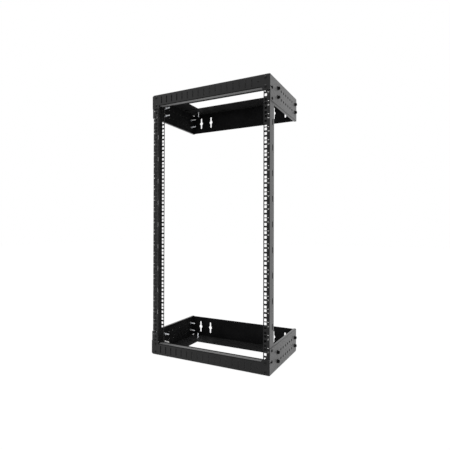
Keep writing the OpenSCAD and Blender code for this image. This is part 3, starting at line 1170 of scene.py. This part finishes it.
@dataclass
class UnitMarks:
    """Printed ticks and plain numbers of the rack units, beside the posts' square holes."""

    rack: Rack
    ink: bpy.types.Material
    column_x: float = 243.0
    tick_w: float = 4.6
    tick_h: float = 1.1
    print_t: float = 0.06
    digit_h: float = 4.6
    digit_share: float = 0.72
    digit_drop: float = 14.5
    curve_steps: int = 3
    weld: float = 1e-7

    def boundary(self, unit: int) -> float:
        """Z of the top of a unit, counted from the bottom of the posts."""
        return -self.rack.tray_h / 2 + self.rack.end_margin + unit * self.rack.unit_h

    def place(self, side: Side, height: float) -> Vector:
        """The middle of a mark that lies on a post's front flange, in metres."""
        y = self.rack.front + self.rack.nested - self.print_t / 2
        return Vector((side.sign * self.column_x, y, height)) * MM

    def ticks(self) -> bpy.types.Object:
        """Builds both columns of ticks from one line of instances each.

        Returns:
            The ticks, as one piece.
        """
        recipe = GeometryRecipe("unit_ticks")
        count = recipe.value("Count", "Int")
        pitch = recipe.value("Pitch", "Vector")
        bar = recipe.node("GeometryNodeMeshCube", None, {"Size": recipe.value("Size", "Vector")})
        values = {
            "Count": self.rack.units - 1,
            "Pitch": (0.0, 0.0, self.rack.unit_h * MM),
            "Size": (self.tick_w * MM, self.print_t * MM, self.tick_h * MM),
            "Finish": self.ink,
        }
        columns = []
        for side in Side:
            name = f"Start {side.word}"
            inputs = {"Count": count, "Start Location": recipe.value(name, "Vector"), "Offset": pitch}
            line = recipe.node("GeometryNodeMeshLine", {"mode": "OFFSET"}, inputs)
            inputs = {"Points": line, "Instance": bar}
            columns.append(recipe.node("GeometryNodeInstanceOnPoints", None, inputs))
            values[name] = tuple(self.place(side, self.boundary(1)))
        recipe.finish(recipe.node("GeometryNodeJoinGeometry", None, {0: columns}))
        return recipe.run("unit_ticks", bpy.data.meshes.new("unit_ticks_base"), values)

    def number(self, unit: int) -> bpy.types.Mesh:
        """One printed number as a thin solid, facing the front with its middle at the origin.

        Args:
            unit: the number.

        Returns:
            The solid's mesh.
        """
        curve = bpy.data.curves.new("digits", "FONT")
        curve.body = str(unit)
        curve.size = self.digit_h / self.digit_share * MM
        curve.align_x = "CENTER"
        curve.align_y = "CENTER"
        curve.extrude = self.print_t / 2 * MM
        curve.resolution_u = self.curve_steps
        mesh = final_mesh(link(bpy.data.objects.new("digits", curve)))
        mesh.transform(Matrix.Rotation(math.pi / 2, 4, "X"))
        return mesh

    def numbers(self) -> bpy.types.Object:
        """Builds the numbers of the open units on both posts as one mesh.

        Returns:
            The numbers, as one piece.
        """
        bm = bmesh.new()
        for unit in range(1, self.rack.units - 1):
            digits = self.number(unit)
            for side in Side:
                copy = digits.copy()
                where = self.place(side, self.boundary(unit + 1) - self.digit_drop)
                copy.transform(Matrix.Translation(where))
                bm.from_mesh(copy)
                bpy.data.meshes.remove(copy)
        bmesh.ops.remove_doubles(bm, verts=bm.verts, dist=self.weld)
        return link(bpy.data.objects.new("unit_numbers", plain_mesh("unit_numbers", bm)))

    def build(self) -> None:
        """Builds the marks and hands them to the frame."""
        for piece in (self.ticks(), self.numbers()):
            dress(piece, self.ink)
            hand_over(piece)


@dataclass
class SheetMetal:
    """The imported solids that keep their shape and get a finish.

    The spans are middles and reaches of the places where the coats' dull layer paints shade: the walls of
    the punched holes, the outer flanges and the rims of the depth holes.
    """

    rack: Rack
    zinc: bpy.types.Material
    wall: float = 0.9
    face_run: Pair = (0.0, 244.0)
    side_run: Pair = (-150.0, 146.0)
    flat_reach: float = 41.0
    flange_across: Pair = (0.0, 247.5)
    flange_run: Pair = (-150.0, 149.5)
    flange_height: Pair = (514.9, 3.0)
    square_reach: float = 5.2
    slot_run: Pair = (-277.5, 15.0)
    whole_height: Pair = (0.0, 520.0)

    def tray_coat(self) -> PowderCoat:
        """Satin, with painted shade from the dull layer in the vents and side holes, on the outer flanges
        and on the hole rims.

        Returns:
            The trays' coat.
        """
        rack = self.rack
        layer = rack.layer(0)
        flat = (rack.middle, self.flat_reach)
        return PowderCoat("powder_coat_trays", SATIN, (
            Stretch(rack, self.face_run, (rack.front + layer, self.wall), flat),
            Stretch(rack, (rack.width / 2 - layer, self.wall), self.side_run, flat),
            Stretch(rack, self.flange_across, self.flange_run, self.flange_height),
            DepthRims(rack),
        ))

    def bracket_coat(self) -> PowderCoat:
        """Dull all over: a duller coat that also paints the brackets' shade inside the rack, and also in
        the holes of the arms.

        Returns:
            The brackets' coat.
        """
        rack = self.rack
        across = (rack.width / 2 - rack.layer(1), self.wall)
        arm = Stretch(rack, across, self.side_run, (rack.middle, self.flat_reach))
        return PowderCoat("powder_coat_brackets", DULL, (arm,))

    def post_coat(self) -> PowderCoat:
        """Satin, with painted shade from the dull layer in the square holes of both flanges and in the
        slots of the web.

        Returns:
            The posts' coat.
        """
        rack = self.rack
        layer = rack.layer(1)
        squares = (rack.column_pitch / 2, self.square_reach)
        front = rack.front + layer
        rear = rack.front + rack.nested + rack.post_depth - rack.sheet / 2
        web = (rack.width / 2 - layer, self.wall)
        return PowderCoat("powder_coat_posts", SATIN, (
            Stretch(rack, squares, (front, self.wall), self.whole_height),
            Stretch(rack, squares, (rear, self.wall), self.whole_height),
            Stretch(rack, web, self.slot_run, self.whole_height),
        ))

    def build(self) -> None:
        """Dresses the folded sheets, the posts, the washers and the nuts."""
        corner_parts = ("depth_washers", "depth_nuts", "post_nuts", "cage_nuts")
        plated = [name for part in corner_parts for name in corner_nodes(part)]
        groups = (
            (end_nodes("tray"), self.tray_coat().material()),
            (end_nodes("wall_bracket"), self.bracket_coat().material()),
            (side_nodes("post"), self.post_coat().material()),
            (plated + end_nodes("flange_nuts"), self.zinc),
        )
        for names, finish in groups:
            for name in names:
                dress(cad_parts[name], finish)
            log.info("%s: %d nodes", finish.name, len(names))


@dataclass(frozen=True)
class Lamp:
    """One soft square lamp: its place and the length of its side in metres, and its power."""

    name: str
    where: Triple
    side: float
    watts: float

    def light(self, aim: Sequence[float]) -> None:
        """Adds the lamp to the scene.

        Args:
            aim: the point that it faces, in metres.
        """
        data = bpy.data.lights.new(self.name, "AREA")
        data.size = self.side
        data.energy = self.watts
        item = link(bpy.data.objects.new(self.name, data))
        item.location = self.where
        item.rotation_euler = (Vector(aim) - Vector(self.where)).to_track_quat("-Z", "Y").to_euler()


@dataclass
class Studio:
    """The camera at the photograph's place, soft lights and a white surround, in metres."""

    camera_place: Triple = (0.71282, -1.51987, 0.45987)
    yaw: float = -0.48049
    pitch: float = 0.00571
    roll: float = 0.00250
    focal_px: float = 381.300
    frame_px: float = 450.0
    sensor_mm: float = 36.0
    clip_start: float = 0.01
    clip_end: float = 60.0
    ambient: float = 1.0
    seen_white: float = 1.0
    floor_half: float = 9.0
    floor_colour: Triple = (0.82, 0.82, 0.82)
    floor_white: float = 0.96
    floor_glow: float = 1.02
    aim: Triple = (0.0, -0.15, 0.47)
    lamps: tuple[Lamp, ...] = (
        Lamp("key", (-0.6, -1.4, 4.0), 2.0, 80.0),
        Lamp("low", (-2.6, -2.6, 0.3), 2.4, 4.0),
    )

    def camera(self) -> None:
        """Creates the camera and makes it the scene's."""
        data = bpy.data.cameras.new("photo_camera")
        data.sensor_width = self.sensor_mm
        data.lens = self.focal_px / self.frame_px * self.sensor_mm
        data.clip_start = self.clip_start
        data.clip_end = self.clip_end
        item = link(bpy.data.objects.new("photo_camera", data))
        item.location = self.camera_place
        level = Euler((math.pi / 2 + self.pitch, 0.0, -self.yaw)).to_matrix()
        item.rotation_euler = (level @ Matrix.Rotation(self.roll, 3, "Z")).to_euler()
        bpy.context.scene.camera = item

    def world(self) -> None:
        """White for the rays that the camera follows, and an ambient light for all others."""
        world = bpy.data.worlds.new("white_studio")
        bpy.context.scene.world = world
        world.use_nodes = True
        recipe = Recipe(world.node_tree)
        lit, seen = (
            recipe.node("ShaderNodeBackground", None, {"Color": WHITE, "Strength": strength})
            for strength in (self.ambient, self.seen_white)
        )
        recipe.surface(recipe.shader_mix(recipe.seen(), lit, seen), "World")

    def floor(self) -> None:
        """A pale floor under the lowest screw heads, nearly white to the camera."""
        recipe, finish = Recipe.material("studio_floor")
        matte = recipe.node("ShaderNodeBsdfDiffuse", None, {"Color": (*self.floor_colour, 1.0)})
        inputs = {"Color": WHITE, "Strength": self.floor_glow}
        glow = recipe.node("ShaderNodeEmission", None, inputs)
        recipe.surface(recipe.shader_mix(self.floor_white * recipe.seen(), matte, glow))
        bm = bmesh.new()
        bmesh.ops.create_grid(bm, x_segments=1, y_segments=1, size=self.floor_half)
        mesh = plain_mesh("floor", bm)
        mesh.transform(Matrix.Translation((0.0, 0.0, CAD_BOUNDS[0][2])))
        floor = link(bpy.data.objects.new("floor", mesh))
        dress(floor, finish)

    def build(self) -> None:
        """Sets up the camera, the surround and the lights."""
        bpy.context.scene.view_settings.view_transform = "Standard"
        self.camera()
        self.world()
        self.floor()
        for lamp in self.lamps:
            lamp.light(self.aim)
        log.info("studio: lens %.2f mm", bpy.context.scene.camera.data.lens)


def main() -> None:
    """Builds the scene in order."""
    logging.basicConfig(level=logging.INFO, format="%(message)s")
    black = BlackOxide().material()
    glossy = BlackOxide("face_screw_black", roughness=0.26, specular=0.16).material()
    zinc = ZincPlate().material()
    ink = PrintInk().material()
    rack = Rack()
    Studio().build()
    SheetMetal(rack, zinc).build()
    Fasteners(rack, black, glossy, zinc).build()
    UnitMarks(rack, ink).build()


if __name__ == "__main__":
    main()
